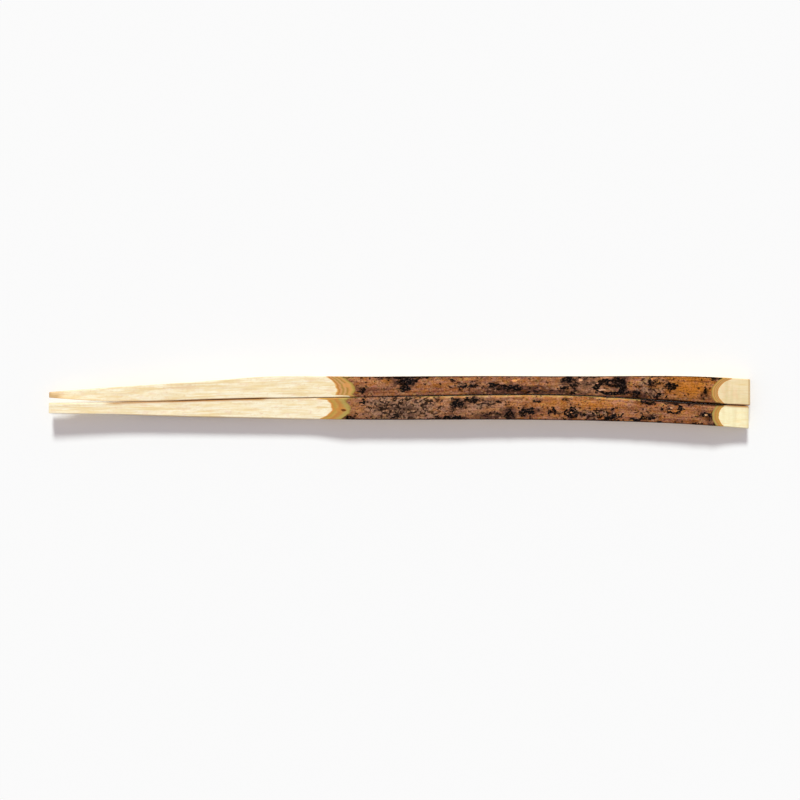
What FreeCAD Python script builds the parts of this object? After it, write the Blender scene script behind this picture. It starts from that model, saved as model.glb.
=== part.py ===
import FreeCAD
import Part

import os
from math import radians, sqrt, tan

# A pair of wooden chopsticks, each split from a thin branch and left with its bark on top.
# The flat underside and both sides are split or planed. A long hollow knife cut takes the bark off
# the eating end, a second cut thins that end from below, and a short slanted cut ends the butt.
# +X runs from the tips to the butts, +Y from the front stick to the back one, +Z up.
# Millimetres. The origin is below the middle of the pair, on the surface that it rests on.

# both sticks
length = 240.0                 # tip to butt of the longer stick
thickness = 5.7                # underside to the crown of the bark
branch_radius = 17.0           # outside of the bark
back_crown_offset = 0.7        # the crown runs this far in front of the middle of the back stick
front_crown_offset = 0.1       # and of the front one
edge_round = 0.35              # eased long edges
end_round = 0.2                # eased edges of the end faces

# stretches of the outline: the first five are set from the tips, the rest from the butts
neck_from_tip = 22.0
blade_from_tip = 54.0
flare_from_tip = 72.0
shoulder_from_tip = 103.0
middle_from_tip = 140.0
waist_from_butt = 51.0
heel_from_butt = 18.0

# line halfway between the sticks, as an offset in Y at each stretch
seam_tip = 0.35
seam_neck = -0.15
seam_blade = 0.6
seam_flare = 1.15
seam_shoulder = 1.6
seam_middle = 2.35
seam_waist = 1.95
seam_heel = -0.4
seam_butt = -1.3

# clear gap between the sticks
gap_tip = 1.95
gap_neck = 0.9
gap_blade = 0.6
gap_flare = 0.45
gap_shoulder = 0.4
gap_middle = 0.4
gap_waist = 0.4
gap_heel = 0.7
gap_butt = 0.9

# widths of the back stick
back_width_tip = 2.3
back_width_neck = 4.75
back_width_blade = 6.15
back_width_flare = 7.1
back_width_shoulder = 6.95
back_width_middle = 6.35
back_width_waist = 6.7
back_width_heel = 8.8
back_width_butt = 8.7

# widths of the front stick
front_width_tip = 3.2
front_width_neck = 3.55
front_width_blade = 5.25
front_width_flare = 6.25
front_width_shoulder = 7.4
front_width_middle = 8.15
front_width_waist = 8.2
front_width_heel = 7.0
front_width_butt = 7.35

# the branch bends up towards the tips, which lifts the bark there before it is cut away
back_bend_tip = 1.2
back_bend_neck = 0.7
front_bend_tip = 2.6
front_bend_neck = 1.4
waist_sag = 0.4                # and it is this much thinner at the waist

# long hollow cut over the eating end
back_bark_start = 105.4        # where the knife leaves the crown of the bark
front_bark_start = 103.7
tip_cut_slope = 5.6            # degrees, at the bark
tip_cut_ramp = 8.0             # straight part of the cut
tip_cut_landing = 80.0         # where the hollow has flattened out
blade_thickness = 4.55         # above the underside, at the landing

# top and underside of the thinned end
back_top_neck = 4.4
back_top_tip = 3.8
back_under_neck = 2.7
back_under_tip = 2.4
front_top_neck = 5.2
front_top_tip = 6.2
front_under_neck = 2.3
front_under_tip = 3.4
under_cut_start = 70.0         # where the cut from below begins

# slanted, slightly hollow cut at the butt
back_butt_cut = 13.6           # length of the cut
front_butt_cut = 12.9
butt_cut_slope = 12.5          # degrees, where the knife enters the bark
butt_cut_drop = 1.7            # below the crown, at the butt
front_set_back = 0.5           # the front butt stops this much short of the back one

# how far a cutting tool runs past the wood
over = 3.0


def vector(x, z):
    return FreeCAD.Vector(x, 0, z)


def line(start, end):
    return Part.LineSegment(start, end).toShape()


def curve(points, first_direction, last_direction):
    """Smooth curve through the points, leaving and arriving along the two directions."""
    spline = Part.BSplineCurve()
    spline.interpolate(Points=points, InitialTangent=first_direction, FinalTangent=last_direction)
    return spline.toShape()


def bark_height(y, crown, top):
    """Height of the bark, an arc of the branch, at a distance from its crown."""
    return top - branch_radius + sqrt(branch_radius ** 2 - (y - crown) ** 2)


def section(x, low, high, top, crown_offset):
    """Outline across a stick: upright sides and the bark, with spare wood below the underside."""
    crown = (low + high) / 2 - crown_offset
    low_foot = FreeCAD.Vector(x, low, -over)
    high_foot = FreeCAD.Vector(x, high, -over)
    low_edge = FreeCAD.Vector(x, low, bark_height(low, crown, top))
    high_edge = FreeCAD.Vector(x, high, bark_height(high, crown, top))
    bark = Part.Arc(high_edge, FreeCAD.Vector(x, crown, top), low_edge).toShape()
    return Part.Wire([line(low_foot, high_foot), line(high_foot, high_edge),
                      bark, line(low_edge, low_foot)])


def split_branch(end, lows, highs, crown_offset, bend_tip, bend_neck):
    """The stick before its cuts, lofted through its stretches."""
    xs = [0.0, neck_from_tip, blade_from_tip, flare_from_tip, shoulder_from_tip,
          middle_from_tip, end - waist_from_butt, end - heel_from_butt, end]
    tops = [thickness] * len(xs)
    tops[0] += bend_tip
    tops[1] += bend_neck
    tops[6] -= waist_sag
    outlines = [section(*values, crown_offset) for values in zip(xs, lows, highs, tops)]
    return Part.makeLoft(outlines, True)


def ease_long_edges(body):
    """Rounds every edge that runs along the stick."""
    along = [edge for edge in body.Edges if edge.BoundBox.XLength > branch_radius]
    return body.makeFillet(edge_round, along)


def knife(edges):
    """A cutting tool: an outline in X and Z carried right across the pair."""
    reach = 10 * branch_radius
    tool = Part.Face(Part.Wire(edges)).extrude(FreeCAD.Vector(0, reach, 0))
    tool.translate(FreeCAD.Vector(0, -reach / 2, 0))
    return tool


def tip_knife(bark_start, top_neck, top_tip):
    """Takes the bark off the eating end: level hollow, then a ramp up to the bark."""
    rise = tan(radians(tip_cut_slope))
    tip = vector(0, top_tip)
    foot = vector(bark_start - tip_cut_ramp, thickness - tip_cut_ramp * rise)
    clear = vector(bark_start + over / rise, thickness + over)
    roof = 3 * thickness
    hollow = curve([tip, vector(neck_from_tip, top_neck),
                    vector(tip_cut_landing, blade_thickness), foot],
                   vector(neck_from_tip, top_neck - top_tip), vector(1, rise))
    return knife([line(vector(-over, top_tip), tip), hollow, line(foot, clear),
                  line(clear, vector(clear.x, roof)),
                  line(vector(clear.x, roof), vector(-over, roof)),
                  line(vector(-over, roof), vector(-over, top_tip))])


def under_knife(end, under_neck, under_tip):
    """Splits the stick flat along its underside, and thins the eating end from below."""
    start = vector(under_cut_start, 0)
    butt = vector(end + over, 0)
    floor = -3 * over
    tip = vector(0, under_tip)
    rise = curve([start, vector(neck_from_tip, under_neck), tip],
                 vector(-1, 0), vector(-neck_from_tip, under_tip - under_neck))
    return knife([rise, line(tip, vector(-over, under_tip)),
                  line(vector(-over, under_tip), vector(-over, floor)),
                  line(vector(-over, floor), vector(butt.x, floor)),
                  line(vector(butt.x, floor), butt), line(butt, start)])


def butt_knife(end, cut):
    """Takes the bark off the butt: steep where it enters, then flatter, one shallow scoop."""
    slope = tan(radians(butt_cut_slope))
    enter = vector(end - cut, thickness)
    leave = vector(end, thickness - butt_cut_drop)
    scoop = Part.BezierCurve()
    scoop.setPoles([enter, vector(end - cut / 2, thickness - slope * cut / 2), leave])
    start = vector(enter.x - over / slope, thickness + over)
    corner = vector(end + over, start.z)
    return knife([line(start, enter), scoop.toShape(), line(leave, vector(corner.x, leave.z)),
                  line(vector(corner.x, leave.z), corner), line(corner, start)])


def stick(end, lows, highs, crown_offset, bends, bark_start, tops, unders, butt_cut):
    """One finished stick: split flat and eased, then cut at the tip and the butt."""
    body = split_branch(end, lows, highs, crown_offset, *bends).cut(under_knife(end, *unders))
    body = ease_long_edges(body.Solids[0])
    body = body.cut(tip_knife(bark_start, *tops)).cut(butt_knife(end, butt_cut)).Solids[0]
    end_edges = [edge for edge in body.Edges if edge.BoundBox.XLength < 0.01]
    return body.makeFillet(end_round, end_edges)


seam = [seam_tip, seam_neck, seam_blade, seam_flare, seam_shoulder,
        seam_middle, seam_waist, seam_heel, seam_butt]
gap = [gap_tip, gap_neck, gap_blade, gap_flare, gap_shoulder,
       gap_middle, gap_waist, gap_heel, gap_butt]
back_widths = [back_width_tip, back_width_neck, back_width_blade, back_width_flare,
               back_width_shoulder, back_width_middle, back_width_waist,
               back_width_heel, back_width_butt]
front_widths = [front_width_tip, front_width_neck, front_width_blade, front_width_flare,
                front_width_shoulder, front_width_middle, front_width_waist,
                front_width_heel, front_width_butt]

back_inner = [y + space / 2 for y, space in zip(seam, gap)]
back_outer = [y + width for y, width in zip(back_inner, back_widths)]
front_inner = [y - space / 2 for y, space in zip(seam, gap)]
front_outer = [y - width for y, width in zip(front_inner, front_widths)]

sticks = {
    "chopstick_back": stick(length, back_inner, back_outer, back_crown_offset,
                            (back_bend_tip, back_bend_neck),
                            back_bark_start, (back_top_neck, back_top_tip),
                            (back_under_neck, back_under_tip), back_butt_cut),
    "chopstick_front": stick(length - front_set_back, front_outer, front_inner,
                             front_crown_offset, (front_bend_tip, front_bend_neck),
                             front_bark_start, (front_top_neck, front_top_tip),
                             (front_under_neck, front_under_tip), front_butt_cut),
}

# the origin goes below the middle of the pair
extent = Part.makeCompound(list(sticks.values())).optimalBoundingBox()
to_origin = FreeCAD.Vector(-extent.Center.x, -extent.Center.y, -extent.ZMin)

os.makedirs("parts", exist_ok=True)
for name, shape in sticks.items():
    shape.translate(to_origin)
    shape.exportStep("parts/" + name + ".step")
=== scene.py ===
import math

import bpy
import numpy as np
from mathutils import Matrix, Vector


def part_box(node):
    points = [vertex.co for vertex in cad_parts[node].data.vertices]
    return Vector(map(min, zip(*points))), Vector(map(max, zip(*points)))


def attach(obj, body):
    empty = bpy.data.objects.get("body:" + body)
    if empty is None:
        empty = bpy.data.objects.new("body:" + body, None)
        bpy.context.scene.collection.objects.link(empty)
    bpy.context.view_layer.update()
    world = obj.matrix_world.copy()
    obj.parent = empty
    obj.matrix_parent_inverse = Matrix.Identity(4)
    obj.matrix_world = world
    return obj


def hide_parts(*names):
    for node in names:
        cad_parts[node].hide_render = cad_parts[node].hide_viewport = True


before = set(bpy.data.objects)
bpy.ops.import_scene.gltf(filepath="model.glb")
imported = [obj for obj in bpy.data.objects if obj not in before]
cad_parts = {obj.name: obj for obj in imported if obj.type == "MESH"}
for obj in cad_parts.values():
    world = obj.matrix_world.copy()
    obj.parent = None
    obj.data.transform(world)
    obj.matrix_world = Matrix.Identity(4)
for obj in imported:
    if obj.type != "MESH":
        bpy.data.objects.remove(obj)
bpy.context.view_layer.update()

mm = 0.001

# shared by both sticks, in millimetres, x counted from the tips
pair = {
    "thickness": 5.7,              # underside to the crown of the bark
    "branchRadius": 17.0,
    "tipStations": [0.0, 22.0, 54.0, 72.0, 103.0, 140.0],
    "buttStations": [51.0, 18.0, 0.0],
    "seam": [0.35, -0.15, 0.6, 1.15, 1.6, 2.35, 1.95, -0.4, -1.3],
    "gap": [1.95, 0.9, 0.6, 0.45, 0.4, 0.4, 0.4, 0.7, 0.9],
    "neck": 22.0,
    "waistSag": 0.4,
    "leanSoft": 9,                 # run over which a side begins to lean out
    "sideSoon": 4,                 # 1 over the share of the half width where a side has begun
    # knife cuts
    "tipSlope": 5.6,               # degrees, where the knife enters the bark
    "tipRamp": 8.0,
    "tipLanding": 80.0,
    "bladeThickness": 4.55,
    "underStart": 70.0,
    "buttSlope": 12.5,             # degrees
    "buttDrop": 1.7,
    "cutCrease": 0.1,              # softness of the crease between two cuts
    "barkCrease": 0.05,            # and between a cut and the bark
    # shallow facets that the knife leaves
    "facetHeight": 0.16,
    "facetSize": (14, 2.2),        # along and across
    "facetFade": (18, 8),          # run before the bark over which they fade
    "facetLoss": 0.75,             # share of their height that is gone at the bark
    "buttFacets": 0.5,             # share of their height in the butt cut
    # corners
    "barkRound": 0.3,              # eased edges where the bark is on
    "underRound": 0.35,            # and along the underside
    "knifeRound": 0.16,            # crisper edges along the knife cut
    "innerRoundRun": (16, 34),     # where the inner corner of the blades turns softer
    "tipRound": 0.6,               # the thin ends are carved round on the far side
    "tipRoundRun": (2, 40),
    "mostRound": 0.42,             # no corner takes more than this share of the wood
    "endRound": 0.2,
    "unrolled": 28.0,              # about once round a stick
}

gridSize = {
    "along": 900,
    "bladeShare": 0.24,            # share of the rings that serves the plain blade
    "bladeShort": 14,              # the closer rings begin this far before the bark
    "top": 56,
    "side": 11,
    "under": 10,
    "corner": 4,
    "endTurns": 3,
    "cap": 8,
}


def smoothLine(x, knots, values, slopes=None):
    # cubic spline through the knots: curvature unknowns from one small linear system,
    # straight ends, or the two given end slopes
    knots, values = np.array(knots, float), np.array(values, float)
    n, step = len(knots), np.diff(knots)
    rise = np.diff(values) / step
    system, right = np.eye(n), np.zeros(n)
    for i in range(1, n - 1):
        system[i, i - 1:i + 2] = step[i - 1], 2 * (step[i - 1] + step[i]), step[i]
        right[i] = 6 * (rise[i] - rise[i - 1])
    if slopes:
        system[0, :2] = 2 * step[0], step[0]
        system[-1, -2:] = step[-1], 2 * step[-1]
        right[0] = 6 * (rise[0] - slopes[0])
        right[-1] = 6 * (slopes[1] - rise[-1])
    bend = np.linalg.solve(system, right)
    i = np.clip(np.searchsorted(knots, x, "right") - 1, 0, n - 2)
    a, b = knots[i + 1] - x, x - knots[i]
    h = step[i]
    return ((bend[i] * a ** 3 + bend[i + 1] * b ** 3) / (6 * h)
            + (values[i] / h - bend[i] * h / 6) * a
            + (values[i + 1] / h - bend[i + 1] * h / 6) * b)


def smoothStep(low, high, value):
    # a cubic from 0 at low to 1 at high, level at both; low may be the larger one
    t = np.clip((value - low) / (high - low), 0, 1)
    return t * t * (3 - 2 * t)


def softMin(a, b, width):
    # the lower of two surfaces, with the crease between them rounded over the width
    h = np.clip(0.5 + 0.5 * (b - a) / width, 0, 1)
    return b * (1 - h) + a * h - width * h * (1 - h)


def zones(x, rows, soft=3):
    # strength along the stick: the sum of soft-ended stretches
    value = np.zeros_like(x)
    for start, stop, strength in rows:
        begun = smoothStep(start - soft, start + soft, x)
        value += strength * begun * (1 - smoothStep(stop - soft, stop + soft, x))
    return value


def noise(u, v, cellU, cellV, seed, octaves=3, keep=0.5):
    # random heights on a lattice blended by smoothstep, each octave half the size and "keep"
    # times the weight of the one before
    total, weight, size = 0, 0, 128
    for k in range(octaves):
        table = np.random.default_rng(seed + k).random((size, size))
        # the shifts keep the octaves' lattices from lining up
        a, b = u / cellU * 2 ** k + 7.3 * k, v / cellV * 2 ** k + 3.1 * k
        i, j = np.floor(a).astype(int), np.floor(b).astype(int)
        f, g = a - i, b - j
        f, g = f * f * (3 - 2 * f), g * g * (3 - 2 * g)
        i, j, i1, j1 = i % size, j % size, (i + 1) % size, (j + 1) % size
        value = ((table[i, j] * (1 - f) + table[i1, j] * f) * (1 - g)
                 + (table[i, j1] * (1 - f) + table[i1, j1] * f) * g)
        total, weight = total + value * keep ** k, weight + keep ** k
    return total / weight


def ripple(u, v, size, seed, *more):
    # noise that swings about zero; its size is along and across
    return noise(u, v, *size, seed, *more) - 0.5


def cells(u, v, size, seed):
    # one scattered point in each square: distance to the nearest one, and its random number
    count = 96
    rng = np.random.default_rng(seed)
    dots, numbers = rng.random((count, count, 2)), rng.random((count, count))
    a, b = u / size, v / size
    i, j = np.floor(a).astype(int), np.floor(b).astype(int)
    nearest, number = np.full_like(a, 9.0), np.zeros_like(a)
    for di in (-1, 0, 1):
        for dj in (-1, 0, 1):
            m, n = (i + di) % count, (j + dj) % count
            away = np.hypot(a - i - di - dots[m, n, 0], b - j - dj - dots[m, n, 1])
            number = np.where(away < nearest, numbers[m, n], number)
            nearest = np.minimum(nearest, away)
    return nearest, number


def ringProfile():
    # once round a stick from the middle of the top: across (-1 to 1 between the corners), level
    # (1 top, 0 underside), and the share of the corner radius to add in y and in z
    g = gridSize
    turn = np.arange(1, g["corner"] + 1) / (g["corner"] + 1) * math.pi / 2
    top = np.linspace(0, 1, g["top"] // 2 + 1)
    side = np.linspace(1, 0, g["side"] + 1)
    under = np.linspace(1, 0, g["under"] // 2 + 1)
    parts = [
        (top, 1 + 0 * top, 0 * top, 0 * top),
        (1 + 0 * turn, 1 + 0 * turn, np.sin(turn), np.cos(turn) - 1),
        (1 + 0 * side, side, 1 + 0 * side, 1 - 2 * side),
        (1 + 0 * turn, 0 * turn, np.cos(turn), 1 - np.sin(turn)),
        (under, 0 * under, 0 * under, 0 * under),
    ]
    half = np.concatenate([np.array(p) for p in parts], axis=1)
    other = half[:, 1:-1][:, ::-1] * np.array([[-1], [1], [-1], [1]])
    return np.concatenate([half, other], axis=1)


def knifeCuts(s, x, end):
    # heights of the tip cut, a level hollow and then a ramp up to the bark; of the butt cut, a
    # parabola that enters at the butt slope and reaches the full drop at the end; and of the
    # underside, flat up to where it rises towards the tip
    p = pair
    rise = math.tan(math.radians(p["tipSlope"]))
    foot = s["barkStart"] - p["tipRamp"]
    footZ = p["thickness"] - p["tipRamp"] * rise
    hollow = smoothLine(np.minimum(x, foot), [0, p["neck"], p["tipLanding"], foot],
                        [s["topTip"], s["topNeck"], p["bladeThickness"], footZ],
                        [(s["topNeck"] - s["topTip"]) / p["neck"], rise])
    tipCut = np.where(x < foot, hollow, footZ + (x - foot) * rise)
    run = x - (end - s["buttCut"])
    steep = math.tan(math.radians(p["buttSlope"]))
    scoop = np.where(
        run > 0, (steep * s["buttCut"] - p["buttDrop"]) * (run / s["buttCut"]) ** 2, 0)
    buttCut = p["thickness"] - steep * run + scoop
    underline = smoothLine(np.minimum(x, p["underStart"]), [0, p["neck"], p["underStart"]],
                           [s["underTip"], s["underNeck"], 0],
                           [(s["underNeck"] - s["underTip"]) / p["neck"], 0])
    return tipCut[:, None], buttCut[:, None], underline[:, None]


def stickSurface(s, end):
    # surface in x (along) and j (round the ring). y: middle of the stick plus the ring's across
    # share of the half width. z: the underside or the top, where the top is the lower of the
    # bark's arc and the knife cuts
    p, g = pair, gridSize
    stations = p["tipStations"] + [end - b for b in p["buttStations"]]
    barkStart = s["barkStart"]
    bladeRings = round(g["bladeShare"] * g["along"])
    bladeEnd = barkStart - g["bladeShort"]
    x = np.concatenate([
        np.linspace(s["setBack"] + p["endRound"], bladeEnd, bladeRings, endpoint=False),
        np.linspace(bladeEnd, end - p["endRound"], g["along"] - bladeRings)])
    across, level, roundY, roundZ = (row[None, :] for row in ringProfile())
    X = x[:, None]

    seam = smoothLine(x, stations, p["seam"])
    gap = smoothLine(x, stations, p["gap"])
    inner = seam + s["side"] * (gap / 2 - smoothLine(x, stations, s["closer"]))
    outer = seam + s["side"] * (gap / 2 + smoothLine(x, stations, s["widths"]))
    middle, half = ((inner + outer) / 2)[:, None], (np.abs(outer - inner) / 2)[:, None]
    crown = middle - s["crownOffset"]
    tipCut, buttCut, underline = knifeCuts(s, x, end)

    # 0 on one half of the ring and soon 1 on the half that the sign names
    facing = lambda sign: np.clip(p["sideSoon"] * across * sign, 0, 1)
    # corner radius: crisp along the knife cut, softer inside the blades, eased by the bark
    crisp = p["knifeRound"] + ((s["innerRound"] - p["knifeRound"]) * facing(-s["side"])
                               * smoothStep(*p["innerRoundRun"], X))
    upper = crisp + (p["barkRound"] - crisp) * smoothStep(
        barkStart - p["tipRamp"], barkStart + 1, X)
    carved = (1 - smoothStep(*p["tipRoundRun"], X)) * facing(1)
    edge = level * upper + (1 - level) * p["underRound"]
    edge = edge + (p["tipRound"] - edge) * carved
    edge = np.minimum(edge, np.minimum(half, tipCut - underline) * p["mostRound"])

    y = middle + across * (half - edge) + edge * roundY
    # the sides lean towards their foot in some stretches, outer ones out and inner ones in
    outward = facing(s["side"]) * zones(X, s["lean"], p["leanSoft"])
    inward = facing(-s["side"]) * zones(X, s["innerLean"])
    y = y + s["side"] * (1 - level) * (outward - inward)
    bends = [*s["bend"], 0, 0, 0, 0, -p["waistSag"], 0, 0]
    top = p["thickness"] + smoothLine(x, stations, bends)[:, None]
    bark = top - p["branchRadius"] + np.sqrt(p["branchRadius"] ** 2 - (y - crown) ** 2)

    facets = p["facetHeight"] * ripple(X + 0 * y, y, p["facetSize"], s["seed"] + 40, 2)
    fadeFrom, fadeTo = (barkStart - before for before in p["facetFade"])
    facets = facets * (1 - p["facetLoss"] * smoothStep(fadeFrom, fadeTo, X))
    cut = softMin(tipCut + facets, buttCut + facets * p["buttFacets"], p["cutCrease"])
    topZ = softMin(bark, cut, p["barkCrease"])
    z = level * topZ + (1 - level) * underline + edge * roundZ
    return np.stack([X + 0 * y, y, z], axis=-1), crown, top


def closeEnds(place):
    # rings that turn over the eased end and shrink to the middle of the end face, one pole each
    p, g = pair, gridSize
    caps = []
    for ring, direction in ((place[0], -1), (place[-1], 1)):
        centre = ring.mean(axis=0)
        reach = np.abs(ring - centre)[:, 1:].max(axis=0).min()
        rows = []
        for turn in np.arange(1, g["endTurns"] + 1) / g["endTurns"] * math.pi / 2:
            row = centre + (ring - centre) * (1 - p["endRound"] * (1 - math.cos(turn)) / reach)
            row[:, 0] = ring[:, 0] + direction * p["endRound"] * math.sin(turn)
            rows.append(row)
        face = rows[-1]
        for share in np.linspace(1, 0, g["cap"])[1:-1]:
            row = centre + (face - centre) * share
            row[:, 0] = face[:, 0]
            rows.append(row)
        caps.append((np.array(rows), np.array([[face[0, 0], centre[1], centre[2]]])))
    return np.concatenate([caps[0][0][::-1], place, caps[1][0]]), caps[0][1], caps[1][1]


# how the outlines of the marks wander, in millimetres; a noise's size is along and across
outline = {
    "patchWander": (2.2, 1.6),
    "patchNoise": (1.3, 1.1),
    "patchFall": 0.7,              # how soon a patch thins out from its middle
    "loopWander": 1.6,
    "loopSideways": 0.6,           # share of that wander across the grain
    "loopNoise": (1.7, 1.3),
    "streakWander": 0.5,
    "streakNoise": (12, 1.0),
    "streakGaps": (2.5, 0.5),
    "streakBreak": (0.3, 0.6),     # values of that noise in a gap, and where it is whole
    "streakFaint": 0.45,           # what is left of a streak in its gaps
    "streakEnds": (1, 1.5),        # run outside and inside over which its ends fade
}


def patches(x, across, rows, halfWidth, seed, spread=1.0, ragged=1.0):
    # each patch is a soft oval whose edge wanders with noise; the strongest patch counts
    o, y = outline, across * halfWidth
    wanderX, wanderY = (reach * ragged for reach in o["patchWander"])
    warpX = wanderX * ripple(x, y, o["patchNoise"], seed)
    warpY = wanderY * ripple(x, y, o["patchNoise"], seed + 4)
    density = np.zeros_like(x)
    for along, offset, long, wide, strength in rows:
        u = (x + warpX - along) / (long / 2 * spread)
        v = ((across - offset) * halfWidth + warpY) / (wide / 2 * spread)
        density = np.maximum(density, strength * np.exp(-o["patchFall"] * (u * u + v * v)))
    return density


def loops(x, across, rows, halfWidth, seed):
    # closed lines: a bell across the outline of an oval that wanders with noise
    o = outline
    warp = o["loopWander"] * ripple(x, across * halfWidth, o["loopNoise"], seed)
    value = np.zeros_like(x)
    for along, offset, long, wide, thick, strength in rows:
        u = (x + warp - along) * 2 / long
        v = ((across - offset) * halfWidth + o["loopSideways"] * warp) * 2 / wide
        away = (np.hypot(u, v) - 1) * min(long, wide) / 2
        value = np.maximum(value, strength * np.exp(-(away / thick) ** 2))
    return value


def streakLines(x, across, rows, halfWidth, seed):
    # thin lines along the grain: a bell across, soft ends along, broken up by noise
    o = outline
    wobble = o["streakWander"] * ripple(x, across, o["streakNoise"], seed)
    gaps = smoothStep(*o["streakBreak"], noise(x, across, *o["streakGaps"], seed + 3))
    broken = o["streakFaint"] + (1 - o["streakFaint"]) * gaps
    outside, inside = o["streakEnds"]
    value = np.zeros_like(x)
    for start, stop, offset, wide, strength in rows:
        bell = np.exp(-(((across - offset) * halfWidth + wobble) / wide) ** 2)
        begun = smoothStep(start - outside, start + inside, x)
        soft = begun * (1 - smoothStep(stop - inside, stop + outside, x))
        value = np.maximum(value, strength * bell * soft * broken)
    return value


# what breaks the marks up, in millimetres along and across, and how much it weighs
barkLook = {
    "crustShare": 0.95,
    "crustNoise": (1.2, 0.85),
    "crustWeight": 2.1,
    "hazeRound": (0.65, 1.8),      # haze round the crust: its strength and how far it spreads
    "hazeNoise": (2.4, 1.2),
    "hazeWeight": 0.8,
    "hazeEdge": (0.15, 0.85),      # values at which it begins and is full
    "mottleNoise": (3.0, 2.0),
    "mottleWeight": 0.6,
    "mottleEdge": (0.2, 0.8),
    "bareHold": (2, 3),            # highest crust at a bare patch's rim, and its drop inside
    "strokeNoise": (3.7, 2.3),
    "darkStroke": 0.05,            # widths of the strokes, as a span of the noise
    "paleStroke": 0.06,
    "speckSize": 1.4,
    "speckSquash": 1.3,            # how much narrower the specks lie across the grain
    "speckWander": 1.5,
    "speckNoise": (1.6, 1.3),
    "fleckReach": (0.42, 0.15),    # edge and full strength, as shares of the speck size
    "pitReach": (0.4, 0.15),
    "specked": 0.3,                # share of the places that hold a fleck, and as many a pit
    "speckedLeast": 0.25,          # and what is left of that share on plain bark
    "speckSoft": 0.02,             # how sharply a place holds one or not
    "hazeSpecked": 0.8,            # how far haze counts as mottled for them
    "hazeSpeckled": 0.7,           # and for the fine speckle
    "spotGain": 1.2,
}


def barkMarks(x, across, s):
    # where each kind of mark lies on the bark, as fields that are 0 where there is none and about
    # 1 where it is strong: patches, loops and lines with noise added, then smooth steps. What is
    # added to the seed only keeps the noises apart
    k, seed, halfWidth = barkLook, s["seed"], s["halfWidth"]
    y = across * halfWidth
    put = lambda key, offset, **more: patches(
        x, across, s[key], halfWidth, seed + offset, **more)
    rough = lambda key, offset, *more: ripple(x, y, k[key], seed + offset, *more)
    crust = np.maximum(put("crust", 1), loops(x, across, s["loops"], halfWidth, seed + 2))
    crust = k["crustShare"] * crust + k["crustWeight"] * rough("crustNoise", 9, 4, 0.7)
    # a bare patch holds the crust below the level where it would show
    highest, drop = k["bareHold"]
    crust = np.minimum(crust, highest - drop * put("bare", 5, ragged=0.5))
    strength, spread = k["hazeRound"]
    haze = np.maximum(strength * put("crust", 1, spread=spread), put("haze", 7))
    haze = smoothStep(
        *k["hazeEdge"], haze + k["hazeWeight"] * rough("hazeNoise", 33, 4, 0.65))
    mottle = smoothStep(
        *k["mottleEdge"], put("mottle", 85) + k["mottleWeight"] * rough("mottleNoise", 35))

    # dark strokes that wander, and paler ones between them: where a noise crosses its middle value
    stroke = lambda offset, wide: smoothStep(
        wide, wide / 3, np.abs(rough("strokeNoise", offset))) * mottle
    net, middle = stroke(51, k["darkStroke"]), stroke(53, k["paleStroke"])
    # short pale flecks and dark pits, thicker where the bark is mottled
    warp = k["speckWander"] * rough("speckNoise", 57)
    near, number = cells(x - warp, k["speckSquash"] * y, k["speckSize"], seed + 63)
    least, soft = k["speckedLeast"], k["speckSoft"]
    share = k["specked"] * (least + (1 - least) * np.maximum(mottle, k["hazeSpecked"] * haze))
    flecks = smoothStep(*k["fleckReach"], near) * smoothStep(
        1.0 - share, 1 + soft - share, number)
    pits = smoothStep(*k["pitReach"], near) * smoothStep(share, share - soft, number)
    return {
        "crust": crust,
        "haze": haze,
        "mottle": mottle,
        "net": net,
        "middle": middle,
        "pits": pits,
        "speckled": np.clip(mottle + k["hazeSpeckled"] * haze, 0, 1),
        "flecks": flecks,
        "spots": k["spotGain"] * put("spots", 65, ragged=0.45),
        "dots": put("dots", 67, ragged=0.4),
        "glow": put("glow", 61),
        "grey": put("grey", 89),
        "eyes": put("eyes", 75, ragged=0.3),
        "red": put("red", 69),
        "woodPatch": put("woodPatch", 73),
        "redLine": streakLines(x, across, s["redLines"], halfWidth, seed + 71),
        "woodLine": streakLines(x, across, s["woodLines"], halfWidth, seed + 81),
    }


def gridNormals(place):
    # cross product of the steps along and round the grid, which wraps round
    along = np.gradient(place, axis=0)
    around = np.roll(place, -1, axis=1) - np.roll(place, 1, axis=1)
    normal = np.cross(along, around)
    return normal / np.maximum(np.linalg.norm(normal, axis=-1, keepdims=True), 1e-9)


def bakeMap(mesh, x, rows, cols):
    # own texture map: the unrolled stick is cut into rows of equal length, laid side by side in
    # one square
    stripes, margin = 3, 0.012
    length = float(x.max() - x.min())
    side = max(length / stripes, stripes * pair["unrolled"])
    corner = np.zeros(len(mesh.loops), np.int64)
    mesh.loops.foreach_get("vertex_index", corner)
    ring, step = corner // cols, corner % cols
    pole = corner >= rows * cols
    start = np.zeros(len(mesh.polygons), np.int64)
    sides = np.zeros(len(mesh.polygons), np.int64)
    mesh.polygons.foreach_get("loop_start", start)
    mesh.polygons.foreach_get("loop_total", sides)
    owner = np.repeat(np.arange(len(start)), sides)
    ringOfFace = np.minimum.reduceat(np.where(pole, rows, ring), start)[owner]
    stepOfFace = np.minimum.reduceat(np.where(pole, cols, step), start)[owner]
    biggest = np.maximum.reduceat(np.where(pole, 0, step), start)[owner]
    wraps = biggest - stepOfFace > 2   # the face that closes the ring
    u = np.where(pole, np.where(corner > rows * cols, rows, -1), ring) / rows * stripes
    stripe = np.clip(np.floor(ringOfFace / rows * stripes), 0, stripes - 1)
    v = np.where(wraps & (step < cols / 2), step + cols, step) / cols
    v = np.where(pole, (stepOfFace + 0.5) / cols, v)
    across = (u - stripe) * (length / stripes / side) * (1 - 2 * margin) + margin
    up = (stripe + margin * 2 + v * (1 - 4 * margin)) / stripes
    layer = mesh.uv_layers.new(name="OFBake")
    layer.data.foreach_set("uv", np.stack([across, up], axis=-1).astype(np.float32).ravel())


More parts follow.
